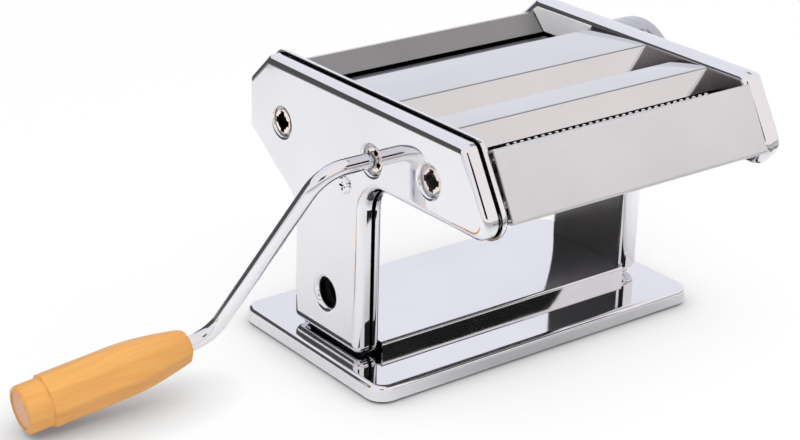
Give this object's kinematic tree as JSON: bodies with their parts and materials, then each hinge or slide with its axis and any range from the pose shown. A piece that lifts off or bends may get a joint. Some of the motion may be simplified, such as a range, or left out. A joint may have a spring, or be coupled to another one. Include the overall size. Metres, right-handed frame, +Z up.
{
  "type": "pasta roller machine",
  "caption": "Hand-cranked pasta machine on a flat stand: sheet rollers with a gap dial, a wide cutter, a thin cutter and a bent crank with a turning grip.",
  "frame": {"origin": "middle of the stand, on the plane of its foot pads", "axes": "+X along the rollers from the crank towards the gap dial, -Y the front with the cutters, +Z up"},
  "size_m": [0.3618, 0.1829, 0.1393],
  "materials": {
    "polished_steel": "bright polished pressed steel",
    "satin_steel": "fine satin brushing along the panel",
    "dark_plate": "dark painted sheet, seen as a seam",
    "shaded_steel": "plain sheet steel",
    "plain_steel": "zinc-plated steel",
    "roller_alloy": "smooth ground surface",
    "cutter_steel": "turned steel",
    "bush_nylon": "plain nylon",
    "block_alloy": "die-cast alloy",
    "knob_chrome": "bright chrome plating on moulded plastic",
    "grip_wood": "orange-tan matte finish",
    "plug_plastic": "matte plug",
    "foot_rubber": "matte pads"
  },
  "bodies": {
    "frame": {"base_plate": "polished_steel", "base_feet": "foot_rubber", "base_screws": "plain_steel", "cross_channel": "polished_steel", "left_inner_shell": "polished_steel", "left_frame_plate": "dark_plate", "left_cover": "polished_steel", "right_inner_shell": "polished_steel", "right_frame_plate": "dark_plate", "right_cover": "polished_steel", "tie_rods": "plain_steel", "tie_rod_screws": "plain_steel", "cover_screws": "polished_steel", "rear_panel": "polished_steel", "hopper_plate": "shaded_steel", "rear_scraper": "shaded_steel", "first_top_cover": "polished_steel", "second_top_cover": "polished_steel", "front_panel": "satin_steel", "sheeter_bushes": "bush_nylon", "wide_cutter_bushes": "bush_nylon", "thin_cutter_bushes": "bush_nylon", "wide_drive_comb": "shaded_steel", "wide_idle_comb": "shaded_steel", "thin_drive_comb": "shaded_steel", "thin_idle_comb": "shaded_steel", "dial_bush": "bush_nylon", "index_ring": "plain_steel"},
    "sheeter_drive": {"sheeter_drive_roller": "roller_alloy", "sheeter_drive_gear": "plain_steel"},
    "carriage": {"left_slide_block": "block_alloy", "right_slide_block": "block_alloy", "carriage_bar": "plain_steel"},
    "sheeter_idle": {"sheeter_idle_roller": "roller_alloy", "sheeter_idle_gear": "plain_steel"},
    "wide_drive": {"wide_drive_roller": "cutter_steel", "wide_drive_gear": "plain_steel"},
    "wide_idle": {"wide_idle_roller": "cutter_steel", "wide_idle_gear": "plain_steel"},
    "thin_drive": {"thin_drive_roller": "cutter_steel", "thin_drive_gear": "plain_steel"},
    "thin_idle": {"thin_idle_roller": "cutter_steel", "thin_idle_gear": "plain_steel"},
    "dial": {"dial_eccentric": "plain_steel", "dial_screw": "plain_steel", "knob_spring": "plain_steel"},
    "knob": {"dial_knob": "knob_chrome", "index_pin": "plain_steel", "knob_cap": "knob_chrome"},
    "crank": {"crank_rod": "polished_steel", "crank_pin": "plain_steel", "grip_washer": "plain_steel"},
    "grip": {"crank_grip": "grip_wood", "grip_end_plug": "plug_plastic"}
  },
  "joints": [
    {"name": "sheeter_spin", "type": "hinge", "parent": "frame", "child": "sheeter_drive", "pos_m": [0, 0.0364, 0.1082], "axis": [1, 0, 0], "continuous": true},
    {"name": "dial_turn", "type": "hinge", "parent": "frame", "child": "dial", "pos_m": [0, 0.007, 0.1082], "axis": [1, 0, 0], "range_deg": [0, 180]},
    {"name": "gap_slide", "type": "slide", "parent": "frame", "child": "carriage", "axis": [0, 1, 0], "range_m": [0, 0.0022]},
    {"name": "sheeter_idler_spin", "type": "hinge", "parent": "carriage", "child": "sheeter_idle", "pos_m": [0, 0.0059, 0.1082], "axis": [1, 0, 0], "continuous": true},
    {"name": "knob_pull", "type": "slide", "parent": "dial", "child": "knob", "axis": [1, 0, 0], "range_m": [0, 0.004], "stiffness_N_per_m": 900, "springref_m": -0.003, "deforming": ["knob_spring"]},
    {"name": "wide_cutter_spin", "type": "hinge", "parent": "frame", "child": "wide_drive", "pos_m": [0, -0.034, 0.1114], "axis": [1, 0, 0], "continuous": true},
    {"name": "wide_idler_spin", "type": "hinge", "parent": "frame", "child": "wide_idle", "pos_m": [0, -0.0528, 0.1114], "axis": [1, 0, 0], "continuous": true},
    {"name": "thin_cutter_spin", "type": "hinge", "parent": "frame", "child": "thin_drive", "pos_m": [0, -0.0752, 0.115], "axis": [1, 0, 0], "continuous": true},
    {"name": "thin_idler_spin", "type": "hinge", "parent": "frame", "child": "thin_idle", "pos_m": [0, -0.094, 0.115], "axis": [1, 0, 0], "continuous": true},
    {"name": "crank_pull", "type": "slide", "parent": "wide_drive", "child": "crank", "axis": [-1, 0, 0], "range_m": [0, 0.045]},
    {"name": "grip_spin", "type": "hinge", "parent": "crank", "child": "grip", "pos_m": [-0.1505, 0.00513, 0.02593], "axis": [-0.9888, 0.0622, -0.136], "continuous": true}
  ],
  "couplings": [
    {"joint": "sheeter_idler_spin", "follows": "sheeter_spin", "ratio": -1},
    {"joint": "dial_turn", "follows": "gap_slide", "rad_per_m": 1428},
    {"joint": "wide_idler_spin", "follows": "wide_cutter_spin", "ratio": -1},
    {"joint": "thin_idler_spin", "follows": "thin_cutter_spin", "ratio": -1}
  ]
}
